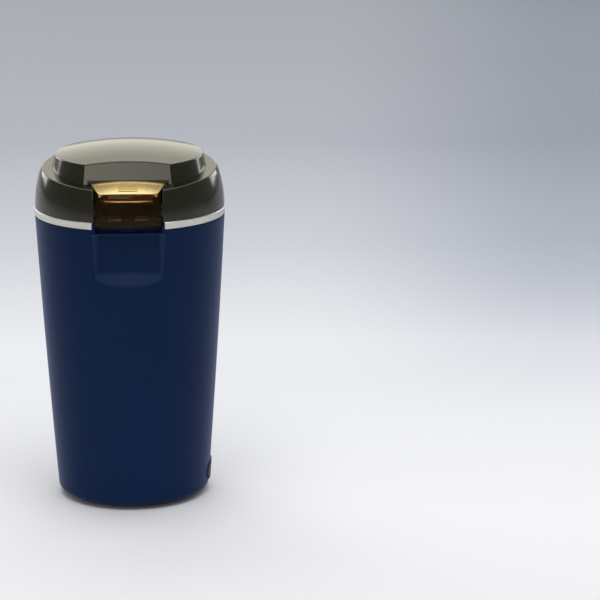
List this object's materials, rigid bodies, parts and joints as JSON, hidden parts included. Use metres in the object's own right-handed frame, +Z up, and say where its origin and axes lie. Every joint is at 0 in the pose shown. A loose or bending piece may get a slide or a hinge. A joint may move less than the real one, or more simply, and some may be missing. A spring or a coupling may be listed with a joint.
{
  "type": "electric spice grinder",
  "caption": "Tapered one-touch electric grinder: steel bowl with a spinning blade under a smoked lift-off lid, started by a front press button.",
  "frame": {"origin": "on the table, under the centre of the feet", "axes": "+Z up along the motor's shaft, -Y towards the press button, +X towards the cord outlet"},
  "size_m": [0.092, 0.0913, 0.1731],
  "materials": {
    "housing_navy": "satin navy lacquer",
    "steel_trim": "fine brushed",
    "black_plastic": "fine texture",
    "smoke_plastic": "smoked, polished",
    "gold_plate": "satin gold",
    "rubber": "matt",
    "soft_black": "matt",
    "zinc_screw": "zinc plated",
    "bowl_steel": "polished",
    "bright_steel": "ground",
    "bearing_bronze": "sintered bronze",
    "nickel": "nickel plated",
    "core_steel": "stacked laminations",
    "copper": "enamelled copper",
    "grey_plastic": "glass filled",
    "brush_brass": "pressed brass",
    "carbon": "carbon",
    "spring_steel": "wire and strip",
    "switch_plastic": "moulded",
    "switch_red": "moulded",
    "bracket_plastic": "moulded"
  },
  "bodies": {
    "housing": {"housing": "housing_navy", "trim_ring": "steel_trim", "base_cover": "black_plastic", "bowl_carrier": "black_plastic", "rubber_feet": "rubber", "motor_mounts": "rubber", "bowl_gasket": "rubber", "shaft_seal": "rubber", "cord_bushing": "soft_black", "base_screws": "zinc_screw", "carrier_screws": "zinc_screw", "motor_screws": "zinc_screw", "motor_bolts": "zinc_screw", "switch_screws": "zinc_screw", "grinding_bowl": "bowl_steel", "lever_pin": "bright_steel", "upper_bearing": "bearing_bronze", "lower_bearing": "bearing_bronze", "bowl_bush": "bearing_bronze", "bowl_nut": "nickel", "stator_core": "core_steel", "field_coils": "copper", "upper_bracket": "grey_plastic", "lower_bracket": "grey_plastic", "brush_holders": "brush_brass", "carbon_brushes": "carbon", "brush_springs": "spring_steel", "plunger_spring": "spring_steel", "microswitch": "switch_plastic", "switch_bracket": "bracket_plastic"},
    "lid": {"lid_cover": "smoke_plastic", "lid_seal": "rubber", "button_springs": "spring_steel"},
    "button": {"press_button": "smoke_plastic", "thumb_plate": "gold_plate", "button_slider": "black_plastic"},
    "rotor": {"motor_shaft": "bright_steel", "armature_core": "core_steel", "armature_windings": "copper", "commutator": "copper", "cooling_fan": "grey_plastic", "thrust_washers": "grey_plastic", "blade_hub": "bright_steel", "grinding_blade": "bowl_steel", "blade_nut": "bowl_steel"},
    "plunger": {"switch_plunger": "housing_navy"},
    "lever": {"switch_lever": "spring_steel"},
    "actuator": {"switch_actuator": "switch_red"}
  },
  "joints": [
    {"name": "lid_lift", "type": "slide", "parent": "housing", "child": "lid", "axis": [0, 0, 1], "range_m": [0, 0.12]},
    {"name": "button_press", "type": "slide", "parent": "lid", "child": "button", "axis": [0, 0, -1], "range_m": [0, 0.003], "stiffness_N_per_m": 400, "springref_m": -0.002, "deforming": ["button_springs"]},
    {"name": "plunger_slide", "type": "slide", "parent": "housing", "child": "plunger", "axis": [0, 0, -1], "range_m": [0, 0.003], "stiffness_N_per_m": 150, "springref_m": -0.001, "deforming": ["plunger_spring"]},
    {"name": "lever_turn", "type": "hinge", "parent": "housing", "child": "lever", "pos_m": [-0.0078, -0.0362, 0.09495], "axis": [0, 1, 0], "range_deg": [0, 14]},
    {"name": "actuator_slide", "type": "slide", "parent": "housing", "child": "actuator", "axis": [0, 0, -1], "range_m": [0, 0.00105]},
    {"name": "rotor_spin", "type": "hinge", "parent": "housing", "child": "rotor", "pos_m": [0, 0, 0.05], "axis": [0, 0, 1], "continuous": true}
  ],
  "couplings": [
    {"joint": "plunger_slide", "follows": "button_press", "ratio": 1},
    {"joint": "lever_turn", "follows": "button_press", "rad_per_m": 81.4},
    {"joint": "actuator_slide", "follows": "button_press", "ratio": 0.35}
  ]
}
